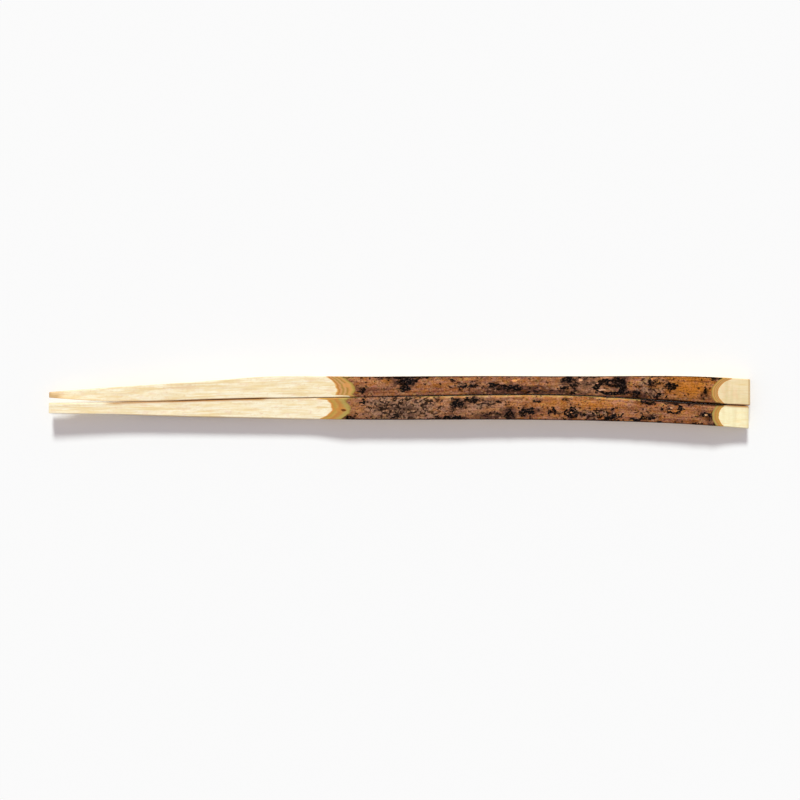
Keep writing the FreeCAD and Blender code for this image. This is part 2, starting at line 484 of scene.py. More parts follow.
# how the cuts bare the layers of the bark, in millimetres
cutLook = {
    "barkBegins": (4, 3),          # run before and after the tip cut's end where the bark sets in
    "barkEnds": (2, 3),            # and where it stops at the butt cut
    "buttBegins": (4, 2),
    "buttDeeper": 0.35,            # the butt cut shows layers deeper by this share
    "arrisReach": (0.8, 0.3),      # from the inner corner, where its own depth begins and is full
    "arrisSoft": 1.5,
    "cleanDepth": 0.6,             # keeps the blades clean of bark right to their edges
    "cleanRun": (80, 92),          # where that runs out
    "barkSkin": (0.03, 0.10),      # depths over which the bark gives way
    "noiseDepth": 0.08,            # what the material's own noise adds on average
}


def cutDepth(s, at):
    # depth below the bark: branch radius less the distance from the branch's middle. It grows
    # towards the inner side, where the branch was split, and less cut shows where the ring turns
    # down the outer side and the bark wraps over
    k, x, outside = cutLook, at["x"], at["outside"]
    centre = at["top"] - pair["branchRadius"]
    depth = pair["branchRadius"] - np.hypot(at["y"] - at["crown"], at["z"] - centre)
    cutRun = 1 - smoothStep(s["barkStart"] - k["barkBegins"][0], s["barkStart"], x)
    bowed = lambda value: value * at["across"] * at["across"] * cutRun
    depth = depth * (1 + bowed(np.where(outside, s["thinOutside"], 0)))
    depth = depth + bowed(np.where(outside, s["splitOutside"], s["splitInside"]))
    depth = (depth * (1 + k["buttDeeper"] * at["butt"])
             - np.where(outside, s["wrapOutside"], 0) * at["turned"] * at["bark"])
    # the inner arris is peeled deeper in some stretches and keeps its bark in others
    arris = np.where(outside, 0, smoothStep(*k["arrisReach"], at["rim"]))
    depth = depth + arris * zones(x, s["edgeDepth"], k["arrisSoft"])
    return depth + k["cleanDepth"] * (1 - smoothStep(*k["cleanRun"], x))


# colour along the corners, on the sides and at the ends, in millimetres; much of it is painted
# shade in the gap, on the inner corners, on the sides and along the outer foot
edgeLook = {
    "rings": 9,                    # growth rings: radians for each millimetre of depth
    "ringNoise": (60, 3),
    "darkRim": (0.65, 0.42),       # strength at the corner and width
    # painted shade in the narrow gap between the sticks, over some dark crust: strength at the
    # corner and width
    "gapShadeAndCrust": (1.3, 0.5),
    # painted shade along the foot of the outer side, as a contact shadow: strength at the corner
    # and width
    "outerFootShade": (1, 0.2),
    "outerFootShadeSoft": 8,
    "gapWarmShade": (0.2, 0.7),         # painted warm shade on the inner corners that the other stick shades: width, and how much of the corner's rounding it adds
    "bareReach": (0.95, 0.55),     # from the corner, where the bared edge begins and is full
    "bareDown": 2,                 # and how far it goes down the side
    "footFade": (0.2, 1.0),        # above the underside, where the lines set in
    "sideFade": (0.4, 2.2),        # below the top, where the side's tan and painted shade begin and are full
    "innerTanAndShade": 0.55,              # their strength on the inner side, where they stand in for the shaded gap
    "goldRun": (7, 2),             # stained tip, from where it begins to where it is full
    "darkRun": (4.5, 2.5),
    "darkShare": (0.55, 0.45),     # at the very end, and behind it on the inner half
    "halfSoft": 0.3,
    "tipGrain": 0.2,               # end grain, from the tip and from the butt
    "buttGrain": (0.9, 0.4),
}


def edgeMarks(s, at, depth):
    # the depth itself, and fields from 0 to 1: bells or smooth steps of the distance from a
    # corner, a side or an end
    k, x, outside = edgeLook, at["x"], at["outside"]
    inside = lambda value: np.where(outside, 0, value)
    bell = lambda strength, wide: strength * np.exp(-(at["rim"] / wide) ** 2)
    foot = at["z"].min(axis=1)[:, None]
    aboveFoot = smoothStep(*k["footFade"], at["z"] - foot)
    sideways = at["turned"] * smoothStep(*k["sideFade"], at["top"] - at["z"])
    wide, added = k["gapWarmShade"]
    veryEnd, behind = k["darkShare"]
    innerHalf = smoothStep(k["halfSoft"], -k["halfSoft"], at["across"] * s["side"])
    buttFrom, buttFull = k["buttGrain"]
    wander = noise(x, at["y"], *k["ringNoise"], s["seed"] + 91, 2)
    return {
        "barkDepth": depth - cutLook["noiseDepth"],
        "rings": 0.5 + 0.5 * np.sin(k["rings"] * (depth + wander)),
        "darkRim": np.where(outside, bell(*k["darkRim"]) * at["bark"], 0),
        # painted shade in the gap between the sticks, over some dark crust
        "gapShadeAndCrust": inside(bell(*k["gapShadeAndCrust"])) * zones(x, s["gapShadeAndCrustRun"]) * aboveFoot,
        "yellowRim": (inside(smoothStep(*k["bareReach"], at["rim"])) * zones(x, s["bareEdge"])
                      * (at["z"] > at["top"] - k["bareDown"])),
        # painted shade along the foot of the outer side
        "outerFootShade": (np.where(outside, bell(*k["outerFootShade"]), 0)
                     * zones(x, s["outerFootShade"], k["outerFootShadeSoft"]) * aboveFoot),
        # painted warm shade on the shaded inner corners in the gap and at the butts
        "gapWarmShade": (inside(bell(1, wide + added * s["innerRound"]))
                    * zones(x, s["gapWarmShadeRun"]) * aboveFoot),
        "tipGold": s["tipStain"] * smoothStep(*k["goldRun"], x),
        "tipDark": s["tipStain"] * np.maximum(
            veryEnd * np.exp(-x * x), behind * smoothStep(*k["darkRun"], x) * innerHalf),
        "buttShare": at["butt"],
        # the split sides' own tan, partly painted shade: deeper in the gap and on the outer sides
        "sideTanAndShade": sideways * np.where(outside, s["outerTanAndShade"], k["innerTanAndShade"]),
        "endGrain": s["endTint"] * np.maximum(
            smoothStep(k["tipGrain"], 0.0, x),
            smoothStep(at["end"] - buttFrom, at["end"] - buttFull, x)),
    }


# real relief in millimetres: size along, size across, height
reliefLook = {
    "ridges": (26, 0.9, 0.10),
    "bumps": (1.6, 1.1, 0.12),
    "mottled": (0.9, 0.7, 0.14),
    "crust": (0.8, 0.6, 0.16),
    "fibres": (30, 0.45, 0.045),
    "fibrePlace": (1.7, 2.3),      # how much of it comes from the place across and the height
    "crustFrom": (0.46, 0.6),      # where the crust mark turns solid
    "crustProud": 0.03,            # and the least that it then stands proud
    "strokes": 0.05,
    "redLines": 0.06,
    "knotRing": 0.35,              # width of a knot's ring, as a share of its radius
    "knotHollow": 0.6,             # width of its sunk middle
    "knotSunk": 0.6,               # and how deep that is, as a share of the ring's height
    "underReach": 0.5,             # share of the corner radius that counts as the underside
    "endFade": 0.6,
    "sideLoss": 0.7,               # share that is lost on the sides
}


def knotRelief(x, across, s):
    # a knot: a raised ring with a sunk middle, both bells
    k, height = reliefLook, np.zeros_like(x)
    for along, offset, radius, rise in s["knots"]:
        d = np.hypot(x - along, (across - offset) * s["halfWidth"])
        height += rise * np.exp(-((d - radius) / (k["knotRing"] * radius)) ** 2)
        height -= rise * k["knotSunk"] * np.exp(-(d / (k["knotHollow"] * radius)) ** 2)
    return height


def surfaceRelief(s, at, marks, onBark):
    # height along the normal: noises for the ridges, the bumps and the crust that stands proud,
    # the knots and lines, and long fibres on the split faces
    k, seed, x, y, z = reliefLook, s["seed"], at["x"], at["y"], at["z"]
    rough = lambda key, offset, octaves=3: k[key][2] * ripple(
        x, y, k[key][:2], seed + offset, octaves)
    ridges, bumps = rough("ridges", 13), rough("bumps", 17)
    pitted = marks["mottle"] * (rough("mottled", 19, 2) + k["strokes"] * marks["middle"])
    long, wide, height = k["crust"]
    proud = smoothStep(*k["crustFrom"], marks["crust"]) * (
        k["crustProud"] + height * noise(x, y, long, wide, seed + 21))
    relief = onBark * (ridges + bumps + pitted + proud - k["redLines"] * marks["redLine"]
                       + knotRelief(x, at["across"], s))
    # the fibres' place across takes in the height too, so that they go on round the sides
    fromY, fromZ = k["fibrePlace"]
    relief += (1 - onBark) * k["fibres"][2] * ripple(
        x, fromY * y + fromZ * z, k["fibres"][:2], seed + 25)
    # the underside is only ever hollowed
    underside = (z < k["underReach"] * pair["knifeRound"]) & (x > pair["underStart"])
    relief[underside] = -np.abs(relief[underside])
    fade = (smoothStep(0, k["endFade"], x - s["setBack"])
            * smoothStep(0, k["endFade"], at["end"] - x) * (1 - k["sideLoss"] * at["turned"]))
    fade[:at["caps"]], fade[-at["caps"]:] = 0, 0
    return relief * fade


def stickMesh(name, points, rows, cols):
    # quads between neighbouring rings, triangles round the two poles
    index = np.arange(rows * cols).reshape(rows, cols)
    nextCol = np.roll(index, -1, axis=1)
    quads = np.stack([index[:-1], index[1:], nextCol[1:], nextCol[:-1]], axis=-1).reshape(-1, 4)
    tipFan = np.stack([np.full(cols, rows * cols), index[0], nextCol[0]], axis=-1)
    buttFan = np.stack([np.full(cols, rows * cols + 1), nextCol[-1], index[-1]], axis=-1)
    mesh = bpy.data.meshes.new(name)
    faces = quads.tolist() + tipFan.tolist() + buttFan.tolist()
    mesh.from_pydata((points * mm).tolist(), [], faces)
    mesh.shade_smooth()
    return mesh


def makeStick(name, node, s):
    # the closed surface, moved along its normals by the relief and then to the frame's own place
    low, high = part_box(node)
    end = (high.x - low.x) / mm
    place, crown, top = stickSurface(s, end)
    grid, poleTip, poleButt = closeEnds(place)
    caps = (len(grid) - len(place)) // 2
    pad = lambda a: np.concatenate([np.repeat(a[:1], caps, 0), a, np.repeat(a[-1:], caps, 0)])
    crown, top = pad(crown), pad(top)
    rows, cols = grid.shape[:2]
    x, y, z = grid[..., 0], grid[..., 1], grid[..., 2]
    lowY, highY = y.min(axis=1)[:, None], y.max(axis=1)[:, None]
    across = (2 * y - lowY - highY) / (highY - lowY)

    # where each point lies
    k, buttStart = cutLook, end - s["buttCut"]
    step = lambda middle, run: smoothStep(middle - run[0], middle + run[1], x)
    at = {
        "x": x, "y": y, "z": z, "across": across, "crown": crown, "top": top,
        "end": end, "caps": caps,
        "rim": (1 - np.abs(across)) * (highY - lowY) / 2,
        "outside": np.sign(across) == s["side"],
        "turned": np.abs(ringProfile()[2])[None, :] * np.ones_like(x),
        "bark": step(s["barkStart"], k["barkBegins"]) * (1 - step(buttStart, k["barkEnds"])),
        "butt": step(buttStart, k["buttBegins"]),
    }
    marks = barkMarks(x, across, s)
    depth = cutDepth(s, at)
    marks.update(edgeMarks(s, at, depth))
    relief = surfaceRelief(s, at, marks, 1 - smoothStep(*k["barkSkin"], depth))
    grid = grid + gridNormals(grid) * relief[..., None]

    # the frame's box of the stick says how far its far side lies from the middle of the pair
    shiftY = (high.y / mm - y.max()) if s["side"] > 0 else (low.y / mm - y.min())
    points = np.concatenate([grid.reshape(-1, 3), poleTip, poleButt])
    points += [[low.x / mm, shiftY, 0]]
    points[:, 2] = np.maximum(points[:, 2], 0)
    mesh = stickMesh(name, points, rows, cols)
    bakeMap(mesh, x, rows, cols)

    perPoint = lambda v: np.concatenate(
        [v.ravel(), [v[0].mean(), v[-1].mean()]]).astype(np.float32)
    for label, value in marks.items():
        layer = mesh.attributes.new(label, "FLOAT", "POINT")
        layer.data.foreach_set("value", perPoint(value))
    grain = np.stack([perPoint(x), perPoint(y - crown), perPoint(z - top)], axis=-1)
    layer = mesh.attributes.new("grainPlace", "FLOAT_VECTOR", "POINT")
    layer.data.foreach_set("vector", grain.ravel())
    piece = bpy.data.objects.new(name, mesh)
    bpy.context.scene.collection.objects.link(piece)
    print(name, len(mesh.polygons), "faces")
    return piece


def linear(code):
    # sRGB hex to the linear values that the shader wants
    values = [int(code[i:i + 2], 16) / 255 for i in (0, 2, 4)]
    return [v / 12.92 if v <= 0.04045 else ((v + 0.055) / 1.055) ** 2.4 for v in values] + [1.0]


def add(tree, kind, sockets=None, stops=None, **settings):
    # one node with its settings; a socket takes a number, a colour code or the output that feeds it
    node = tree.nodes.new(kind)
    for key, value in settings.items():
        setattr(node, key, value)
    for key, value in (sockets or {}).items():
        if isinstance(value, bpy.types.NodeSocket):
            tree.links.new(value, node.inputs[key])
        else:
            node.inputs[key].default_value = linear(value) if isinstance(value, str) else value
    for number, (position, code) in enumerate(stops or []):
        elements = node.color_ramp.elements
        element = elements[number] if number < 2 else elements.new(position)
        element.position, element.color = position, linear(code)
    return node.outputs


def streaks(tree, s, long, wide, detail=3, keep=0.6):
    # noise with blobs that long along the grain and that wide across it, in millimetres; each
    # stick and each use has its own stretch of it
    offset = s["seed"] + len(tree.nodes)
    grain = add(tree, "ShaderNodeAttribute", attribute_name="grainPlace")["Vector"]
    place = add(tree, "ShaderNodeMapping", {"Vector": grain, "Location": (offset, offset, 0),
                                            "Scale": (1 / long, 1 / wide, 1 / wide)})[0]
    return add(tree, "ShaderNodeTexNoise", {"Vector": place, "Scale": 1.0, "Detail": detail,
                                            "Roughness": keep})["Fac"]


def tones(tree, s, blobs, stops):
    # noise turned into colours
    return add(tree, "ShaderNodeValToRGB", {0: streaks(tree, s, *blobs)}, stops)["Color"]


def valueOf(tree, s, source):
    # a mark by its name, or noise by the size of its blobs
    if isinstance(source, str):
        return add(tree, "ShaderNodeAttribute", attribute_name=source)["Fac"]
    return streaks(tree, s, *source)


def coated(tree, s, colour, coats):
    # coats laid over the colour one by one. Each row: mark and its gain, the noise added to it,
    # the values where the coat begins and where it is full, how much it covers then, and its paint
    for mark, gain, blobs, begins, full, most, paint in coats:
        value = valueOf(tree, s, mark) if isinstance(mark, str) else mark
        rough = streaks(tree, s, *blobs) if blobs else 0.0
        value = add(tree, "ShaderNodeMath", {0: value, 1: gain, 2: rough},
                    operation="MULTIPLY_ADD")[0]
        share = add(tree, "ShaderNodeMapRange", {0: value, 1: begins, 2: full, 4: most},
                    interpolation_type="SMOOTHSTEP")[0]
        if isinstance(paint, tuple):
            paint = tones(tree, s, *paint)
        colour = add(tree, "ShaderNodeMix", {0: share, 6: colour, 7: paint}, data_type="RGBA")[2]
    return colour


def tinted(tree, s, colour, tints):
    # hue and saturation drift towards each paint where its mark or its noise is high, and the
    # brightness stays
    for source, begins, full, most, paint in tints:
        value = valueOf(tree, s, source)
        share = add(tree, "ShaderNodeMapRange", {0: value, 1: begins, 2: full, 4: most})[0]
        colour = add(tree, "ShaderNodeMix", {0: share, 6: colour, 7: paint},
                     data_type="RGBA", blend_type="COLOR")[2]
    return colour


# the finish; a noise's size is along and across the grain, in millimetres
finish = {
    "layerNoise": (2.6, 1.1),
    "layerShift": 0.16,            # how far that noise moves the layers
    "bandsEnd": (0.72, 0.66),      # depths below the bark where the bands turn into wood
    "barkEnd": (0.08, 0.02),       # and where the bark turns into bands
    # colour of the painted shade in the gap between the sticks, over some dark crust
    "gapShadeAndCrustColour": "2c1811",
    "skin": (0.02, 0.12),          # depths where roughness and pores change from bark to wood
    "roughness": (0.5, 0.65),      # bark, wood
    "crustFrom": (0.4, 0.6),
    "crustDull": 0.1,
    "pores": (0.4, 0.3),           # coarser than real pores, which are too fine to show
    "poreHeight": (0.9, 0.15),     # bark, wood
    "fibres": (9, 0.16, 4),        # coarser than real fibres too
    "fibreHeight": 0.5,
    "bump": 0.6,
    "bumpHeight": 0.00008,         # in metres
    "refraction": 1.5,
    "gloss": 0.01,
}


def barkOnWood(name, s):
    # split branch, air dried, unvarnished: orange-brown bark with dark crust and hardly any gloss,
    # thin inner-bark bands where the knife slants through it, and matt pale sapwood that shows its
    # fibres
    f = finish
    material = bpy.data.materials.new(name)
    material.use_nodes = True
    tree = material.node_tree
    tree.nodes.clear()
    depth = valueOf(tree, s, "barkDepth")
    under = add(tree, "ShaderNodeMath",
                {0: streaks(tree, s, *f["layerNoise"]), 1: f["layerShift"], 2: depth},
                operation="MULTIPLY_ADD")[0]
    bark = coated(tree, s, tones(tree, s, *s["barkTones"]), s["barkCoats"])
    bark = tinted(tree, s, bark, s["barkTints"])
    wood = coated(tree, s, tones(tree, s, *s["woodTones"]), s["woodCoats"])
    # the knife's way through the bark: the band's colour comes from the depth below the bark
    bands = add(tree, "ShaderNodeValToRGB", {0: under}, s["bandStops"])["Color"]
    bands = coated(tree, s, bands, s["bandCoats"])
    # bands and bark laid over the wood by depth, then painted shade in the gap between the sticks,
    # over some dark crust
    colour = coated(tree, s, wood, [(under, 1, None, *f["bandsEnd"], 1, bands),
                                    (under, 1, None, *f["barkEnd"], 1, bark),
                                    ("gapShadeAndCrust", 1, (3, 0.5), 0.7, 1.1, 0.85, f["gapShadeAndCrustColour"])])

    # matt wood, bark a little glossier, dull crust; fine fibres and pores as bump
    begins, full = f["crustFrom"]
    dull = add(tree, "ShaderNodeMapRange",
               {0: valueOf(tree, s, "crust"), 1: begins, 2: full, 4: f["crustDull"]})[0]
    begins, full = f["skin"]
    onBark, onWood = f["roughness"]
    matt = add(tree, "ShaderNodeMapRange", {0: under, 1: begins, 2: full, 3: onBark, 4: onWood})[0]
    rough = add(tree, "ShaderNodeMath", {0: matt, 1: dull}, operation="ADD")[0]
    onBark, onWood = f["poreHeight"]
    porous = add(tree, "ShaderNodeMapRange",
                 {0: under, 1: begins, 2: full, 3: onBark, 4: onWood})[0]
    pores = add(tree, "ShaderNodeMath", {0: streaks(tree, s, *f["pores"]), 1: porous},
                operation="MULTIPLY")[0]
    height = add(tree, "ShaderNodeMath",
                 {0: streaks(tree, s, *f["fibres"]), 1: f["fibreHeight"], 2: pores},
                 operation="MULTIPLY_ADD")[0]
    bump = add(tree, "ShaderNodeBump", {"Strength": f["bump"], "Distance": f["bumpHeight"],
                                        "Height": height})[0]
    shader = add(tree, "ShaderNodeBsdfPrincipled", {
        "Base Color": colour, "Roughness": rough, "Normal": bump,
        "IOR": f["refraction"], "Specular IOR Level": f["gloss"]})[0]
    add(tree, "ShaderNodeOutputMaterial", {0: shader})
    return material


# colours from noise: the size of its blobs in millimetres, and sRGB hex values along it
hazeTones = ((1.7, 0.8, 4, 0.7),
             [(0.34, "281819"), (0.48, "452a26"), (0.58, "664034"), (0.7, "865a46")])
crustTones = ((0.7, 0.55, 4, 0.65),
              [(0.3, "040406"), (0.47, "0b0a0d"), (0.54, "1c1817"), (0.6, "402e28"),
               (0.68, "80604e")])

# what both sticks share
common = {
    "wrapOutside": 0.4,            # how much less cut shows where the bark wraps over
    "splitOutside": 0.05,          # depth that the split adds towards each side
    "splitInside": 0.2,
    "innerLean": [(198, 234, 0.15)],
    "barkTones": ((9, 0.7, 5, 0.65),
                  [(0.3, "884a38"), (0.42, "9d6345"), (0.5, "ad7147"), (0.6, "bb7f50"),
                   (0.72, "c99463")]),
    "barkCoats": [
        (0, 0, (5, 1.8), 0.46, 0.62, 0.55, "6e4128"),
        ("glow", 1, None, 0.0, 1.0, 0.85,
         ((3, 0.5), [(0.3, "ae6c2a"), (0.5, "c68032"), (0.7, "cc9446")])),
        (0, 0, (30, 0.38), 0.54, 0.66, 0.6, "6a3320"),
        ("redLine", 1, None, 0.0, 1.0, 1.0, "6f3324"),
        ("red", 1, (4, 0.5), 0.9, 1.35, 0.6, "8a4634"),
        ("mottle", 1, (2.2, 1.4), 0.9, 1.4, 0.7,
         ((1.8, 1.2), [(0.4, "78564c"), (0.5, "8e7458"), (0.6, "ac8670")])),
        (0, 0, (0.55, 0.5, 3, 0.7), 0.52, 0.38, 0.65, "40241a"),
        (0, 0, (0.6, 0.55), 0.53, 0.66, 0.55, "cc9a70"),
        ("yellowRim", 1, (2.5, 1.5), 1.0, 1.2, 1.0,
         ((2, 0.5), [(0.35, "a87a3c"), (0.5, "c2945a"), (0.65, "d0a868")])),
        ("haze", 1, None, 0.0, 1.0, 0.85, hazeTones),
        ("middle", 1, (0.8, 0.6), 0.8, 1.3, 0.7,
         ((3, 2), [(0.42, "93725e"), (0.58, "b08a70")])),
        ("net", 0.8, (0.8, 0.6), 0.7, 0.95, 0.92, "2a1811"),
        ("speckled", 0.12, (1.1, 0.85), 0.64, 0.71, 0.9, "24150f"),
        ("pits", 1, None, 0.1, 0.6, 0.8, "1d100b"),
        ("flecks", 1, (0.5, 0.4), 0.8, 1.2, 0.75,
         ((1.5, 1.5), [(0.42, "96705a"), (0.56, "b88a62")])),
        ("dots", 1, (0.5, 0.4), 0.8, 1.1, 0.9, "2d150c"),
        ("crust", 0.8, (0.55, 0.5), 0.88, 0.95, 1.0, crustTones),
        ("spots", 1, (0.5, 0.4), 0.9, 1.2, 0.9,
         ((1.0, 0.8), [(0.42, "c88c58"), (0.58, "f0c496")])),
        ("darkRim", 1, (3, 0.5), 0.7, 1.1, 0.85, "2e1912"),
    ],
    # orange, mauve, olive and grey: mark or blobs, where each begins and is full, how far it
    # goes, and its hue
    "barkTints": [
        ((2.6, 1.6), 0.48, 0.61, 0.75, "8a501e"), ((2.4, 1.2), 0.5, 0.64, 0.5, "8a6259"),
        ((2.0, 1.0), 0.56, 0.67, 0.6, "8a6c38"), ((1.3, 0.8), 0.55, 0.67, 0.6, "8a5244"),
        ("grey", 0.2, 1.0, 0.6, "8a6a54"), ("glow", 0.2, 0.9, 0.8, "8a5118"),
    ],
    "woodTones": ((13, 0.6, 4),
                  [(0.3, "eed29c"), (0.42, "f6e1b4"), (0.52, "fff6da"), (0.62, "fdefce"),
                   (0.76, "f2d6a4")]),
}


def woodCoats(buttTones, buttMarks):
    # growth rings, warm fibre marks, and the warmer colour of the butt and the ends; on the sides a
    # tan that is partly painted shade, painted warm shade on the inner corners and painted shade
    # along the outer foot
    return [
        ("rings", 1, None, 0.4, 1.0, 0.2, "efd3a0"),
        (0, 0, (7, 0.3), 0.62, 0.74, 0.35, "deb487"),
        (0, 0, (8, 2.2), 0.46, 0.62, 0.42, "f3d9a2"),
        (0, 0, (3.5, 1.2), 0.54, 0.66, 0.4, "f2d0b4"),
        (0, 0, (1.3, 0.8), 0.52, 0.68, 0.3, "ecd09a"),
        (0, 0, (1.0, 0.7), 0.57, 0.7, 0.3, "e2b990"),
        ("woodPatch", 1, (1.6, 0.7), 0.9, 1.4, 0.5, "e3bd98"),
        ("woodLine", 1, None, 0.0, 1.0, 1.0, "b98f5e"),
        ("buttShare", 1, None, 0.0, 1.0, 0.75, ((18, 0.6), buttTones)),
        ("buttShare", 0.5, (2.2, 20, 1), 0.9, 1.15, buttMarks, "dccb98"),
        ("buttShare", 0.5, (1.6, 3, 2), 1.0, 1.15, 0.7 * buttMarks, "f0c89c"),
        ("tipGold", 1, None, 0.0, 1.0, 0.5, "dca24c"),
        ("tipDark", 1, None, 0.0, 1.0, 0.9, "96683e"),
        # the split sides' own tan, partly painted shade
        ("sideTanAndShade", 1, None, 0.0, 1.0, 0.7, "c08a50"),
        ("endGrain", 1, None, 0.0, 1.0, 0.6, "c39a66"),
        # painted warm shade on the inner corners in the gap
        ("gapWarmShade", 1, None, 0.0, 1.0, 1.0, "ac7238"),
        # painted shade along the foot of the front blade's outer side
        ("outerFootShade", 1, None, 0.0, 1.0, 1.0, "94735a"),
    ]


backStick = dict(
    # side is 1 for the back stick and -1 for the front one; halfWidth turns a mark's place across
    # into millimetres
    common, side=1, seed=11, halfWidth=3.5,
    # width at each station, how far the crown runs in front of the middle, length of the butt cut
    widths=[2.1, 4.8, 6.35, 7.2, 6.95, 6.35, 6.7, 8.8, 8.7], crownOffset=0.7, buttCut=13.6,
    # how far the branch's bend lifts the bark at the tip and at the neck, where the knife leaves
    # the bark, and the heights of the top and the underside of the thinned end
    bend=(1.2, 0.7), barkStart=105.4, topNeck=4.4, topTip=3.8, underNeck=3.0, underTip=2.75,
    setBack=0.0,                   # how far the tip stands in from the end of the pair
    innerRound=0.2,                # corner radius inside the blade
    # how much the tip is stained, the end grain darker, and the outer side tan with painted shade
    tipStain=0.9, endTint=1.0, outerTanAndShade=0.6,
    thinOutside=0.35,              # share of the depth that is added towards the outer side
    # how far the inner side is drawn towards the other stick at each station
    closer=[-0.2, 0.08, 0.04, 0.06, 0.04, 0.0, 0.0, 0.08, 0.28],
    # stretches along the stick, each with its strength: the inner arris lies deeper below the bark
    # than the rest or keeps its bark; the outer side leans; the outer foot takes painted shade;
    # inner edges take painted warm shade, painted dark shade over some crust in the gap, or are
    # bare
    edgeDepth=[(98, 103.7, 0.6), (106, 226, -0.4)],
    lean=[],
    outerFootShade=[],
    gapWarmShadeRun=[(24, 76, 0.8), (76, 92, 0.3), (230, 241, 0.9)],
    gapShadeAndCrustRun=[(208, 231, 1.0)],
    bareEdge=[(98.5, 103, 1.0)],
    # each patch: along from the tips, across from -1 (front) to 1 (back), length, width, strength
    crust=[
        (102.3, 0.95, 3.0, 0.7, 1.0), (107.1, -0.35, 2.2, 1.9, 0.9), (122.8, 0.97, 10.0, 1.3, 1.7),
        (121.8, 0.5, 5.4, 2.0, 1.7), (121.7, 0.05, 3.2, 2.0, 1.6), (121.3, -0.35, 1.8, 1.3, 1.3),
        (134.0, 0.2, 1.0, 0.7, 0.8), (138.5, 0.5, 1.3, 0.9, 0.9), (141.3, -0.15, 3.0, 1.5, 0.85),
        (145.6, -0.05, 2.8, 1.3, 0.8), (152.2, 0.05, 4.0, 1.7, 1.05), (156.0, -0.25, 5.0, 2.3, 1.1),
        (160.0, -0.35, 4.4, 2.3, 1.1), (165.0, -0.7, 5.0, 1.0, 0.85),
        (176.0, -0.35, 3.4, 1.3, 0.85), (177.8, 0.7, 5.5, 1.7, 1.1), (182.2, 0.75, 3.0, 1.6, 1.0),
        (179.1, -0.1, 1.8, 2.6, 0.9), (179.0, -0.7, 3.0, 1.0, 0.9), (186.2, 0.92, 3.0, 0.7, 0.9),
        (194.8, 0.35, 3.4, 3.0, 1.6), (191.4, 0.1, 5.0, 1.1, 1.0), (199.6, -0.6, 6.5, 1.3, 0.85),
        (206.2, 0.5, 3.4, 2.0, 0.8), (213.0, 0.2, 4.6, 2.4, 0.85), (209.6, -0.55, 3.2, 1.6, 0.8),
        (224.4, -0.25, 2.0, 1.7, 0.7), (228.2, 0.95, 3.6, 0.9, 1.6),
    ],
    # each loop: along, across, length, width, thickness of the line, strength
    loops=[(191.9, -0.1, 8.6, 4.6, 0.65, 1.6)],
    glow=[(116, 0.55, 3, 2.2, 0.9), (219, 0.85, 18, 2.4, 1.0), (208.5, 0.3, 6, 3.0, 0.7),
          (136, 0.15, 12, 2.4, 0.45), (219, 0.1, 17, 5.0, 1.0), (200.5, 0.2, 4, 3.0, 0.5)],
    # each line: from, to, across, width, strength
    redLines=[(106, 118, -0.35, 0.3, 0.8), (108, 150, -0.68, 0.25, 0.7), (125, 148, -0.3, 0.3, 0.8),
              (212, 227, 0.62, 0.3, 0.8), (208, 224, -0.3, 0.3, 0.5), (144, 165, -0.85, 0.35, 0.7)],
    woodLines=[(66, 73, -0.1, 0.3, 0.3), (79, 88, -0.15, 0.3, 0.35)],
    eyes=[(101.8, 0.12, 2.8, 1.5, 1.2)],
    red=[(112, -0.3, 18, 3.0, 0.8), (134, -0.55, 34, 2.4, 0.8), (152, -0.6, 20, 2.0, 0.5),
         (172, 0.2, 16, 3.0, 0.5), (222, -0.5, 14, 3.0, 0.5)],
    woodPatch=[(45, 0.5, 15, 2.2, 0.9), (60, 0.2, 9, 1.6, 0.5)],
    haze=[(165, -0.75, 42, 2.2, 1.0), (158, -0.3, 32, 2.8, 0.9), (201, -0.7, 13, 2.2, 1.0),
          (110, -0.4, 8, 2.4, 0.6), (206, 0.1, 7, 4.5, 0.5), (224.5, -0.3, 4, 3, 0.8),
          (147, 0.5, 8, 1.6, 0.5), (180, 0.3, 16, 6.0, 0.75)],
    mottle=[(142, 0.0, 12, 3.5, 0.8), (155, -0.3, 14, 3.0, 0.7), (183, 0.3, 14, 4.0, 0.5),
            (206, 0.0, 12, 6.0, 1.0), (120.5, -0.4, 5, 3, 0.6)],
    bare=[(190.4, -0.38, 6.0, 0.7, 1.0)],   # where the crust is held back
    grey=[(183, 0.2, 24, 8, 0.75), (116, 0.0, 8, 6, 0.5), (149, 0.0, 14, 5, 0.4)],
    dots=[(137.8, 0.55, 1.4, 0.9, 1.0), (140.2, 0.3, 1.3, 0.8, 0.9)],
    spots=[(159.3, 0.45, 1.6, 0.9, 1.0), (160.8, 0.6, 1.0, 0.7, 1.0), (181.8, 0.6, 1.3, 0.9, 1.0),
           (187.5, 0.3, 1.0, 0.7, 0.8), (189.6, -0.42, 3.6, 0.5, 0.7),
           (206.3, 0.72, 1.0, 0.6, 0.85)],
    # each knot: along, across, radius, height
    knots=[(191.9, -0.1, 2.8, 0.2)],
    # bands by depth below the bark, in millimetres
    bandStops=[(0.0, "5f3a28"), (0.04, "98743c"), (0.1, "ad9148"), (0.17, "c9a05a"),
               (0.24, "d8985a"), (0.33, "a8803c"), (0.41, "d9a46c"), (0.49, "ab8440"),
               (0.55, "d8a068"), (0.62, "b9773a"), (0.68, "e8ae60")],
    bandCoats=[(0, 0, (1.3, 0.6), 0.5, 0.7, 0.3, "b09a4a"),
               ("eyes", 1, (1.3, 0.6), 0.9, 1.2, 0.8, "dd9c5c")],
    woodCoats=woodCoats([(0.3, "e8cb92"), (0.5, "f2ddb0"), (0.7, "efd4a6")], 0.5),
)

